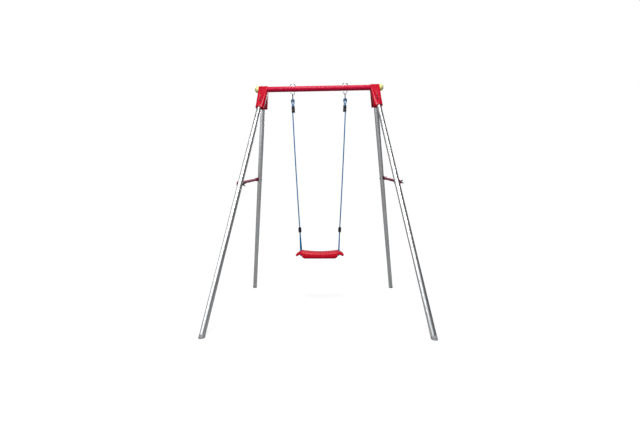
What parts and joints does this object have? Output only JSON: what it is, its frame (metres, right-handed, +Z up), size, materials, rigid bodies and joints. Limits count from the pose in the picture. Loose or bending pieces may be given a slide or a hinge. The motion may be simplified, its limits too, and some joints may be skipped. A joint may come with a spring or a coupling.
{
  "type": "swing set",
  "caption": "Garden swing set: red crossbar on four splayed steel legs with side braces, and a red moulded seat hung on blue ropes from snap hooks.",
  "frame": {"origin": "on the ground, midway between the four feet and under the middle of the crossbar", "axes": "+X along the crossbar towards the right end, +Y towards the rear feet, +Z up"},
  "size_m": [1.604, 1.5466, 2.0309],
  "materials": {
    "crossbar_paint": "glossy crimson powder coat",
    "cap_plastic": "smooth pale yellow",
    "bracket_plastic": "glossy bright red, moulded",
    "zinc_tube": "bright zinc coating",
    "foot_plastic": "matte grey",
    "brace_paint": "semi-gloss dark red",
    "dark_fastener": "blackened steel",
    "zinc_fastener": "zinc plated",
    "black_plastic": "satin black",
    "hook_steel": "zinc plated, dull",
    "ring_plastic": "satin dark blue",
    "rope_fibre": "braided, matte",
    "seat_plastic": "glossy red, moulded"
  },
  "bodies": {
    "frame": {"top_bar": "crossbar_paint", "bar_cap_left": "cap_plastic", "bar_cap_right": "cap_plastic", "corner_bracket_left": "bracket_plastic", "corner_bracket_right": "bracket_plastic", "leg_front_left": "zinc_tube", "leg_front_right": "zinc_tube", "leg_rear_left": "zinc_tube", "leg_rear_right": "zinc_tube", "foot_front_left": "foot_plastic", "foot_front_right": "foot_plastic", "foot_rear_left": "foot_plastic", "foot_rear_right": "foot_plastic", "brace_left": "brace_paint", "brace_right": "brace_paint", "leg_bolts": "dark_fastener", "leg_nuts": "dark_fastener", "leg_screws": "dark_fastener", "bar_screws": "zinc_fastener", "brace_bolts": "zinc_fastener", "brace_washers": "zinc_fastener", "brace_wing_nuts": "black_plastic", "hanger_bolt_left": "zinc_fastener", "hanger_bolt_right": "zinc_fastener", "hanger_saddle_left": "zinc_fastener", "hanger_saddle_right": "zinc_fastener", "hanger_nuts": "zinc_fastener", "hanger_nut_caps": "black_plastic"},
    "swing": {"hook_left": "hook_steel", "hook_right": "hook_steel", "hook_rivets": "hook_steel", "rope_ring_left": "ring_plastic", "rope_ring_right": "ring_plastic", "rope_left": "rope_fibre", "rope_right": "rope_fibre", "adjuster_left": "black_plastic", "adjuster_right": "black_plastic", "rope_clip_left": "black_plastic", "rope_clip_right": "black_plastic", "seat": "seat_plastic"},
    "gate_left": {"hook_gate_left": "hook_steel"},
    "gate_right": {"hook_gate_right": "hook_steel"}
  },
  "joints": [
    {"name": "swing_hinge", "type": "hinge", "parent": "frame", "child": "swing", "pos_m": [0, 0, 1.934], "axis": [1, 0, 0], "range_deg": [-60, 60]},
    {"name": "gate_left_hinge", "type": "hinge", "parent": "swing", "child": "gate_left", "pos_m": [-0.24, 0.01152, 1.89216], "axis": [1, 0, 0], "range_deg": [0, 22], "stiffness_Nm_per_rad": 0.03, "springref_deg": -20.05},
    {"name": "gate_right_hinge", "type": "hinge", "parent": "swing", "child": "gate_right", "pos_m": [0.24, 0.01152, 1.89216], "axis": [1, 0, 0], "range_deg": [0, 22], "stiffness_Nm_per_rad": 0.03, "springref_deg": -20.05}
  ]
}
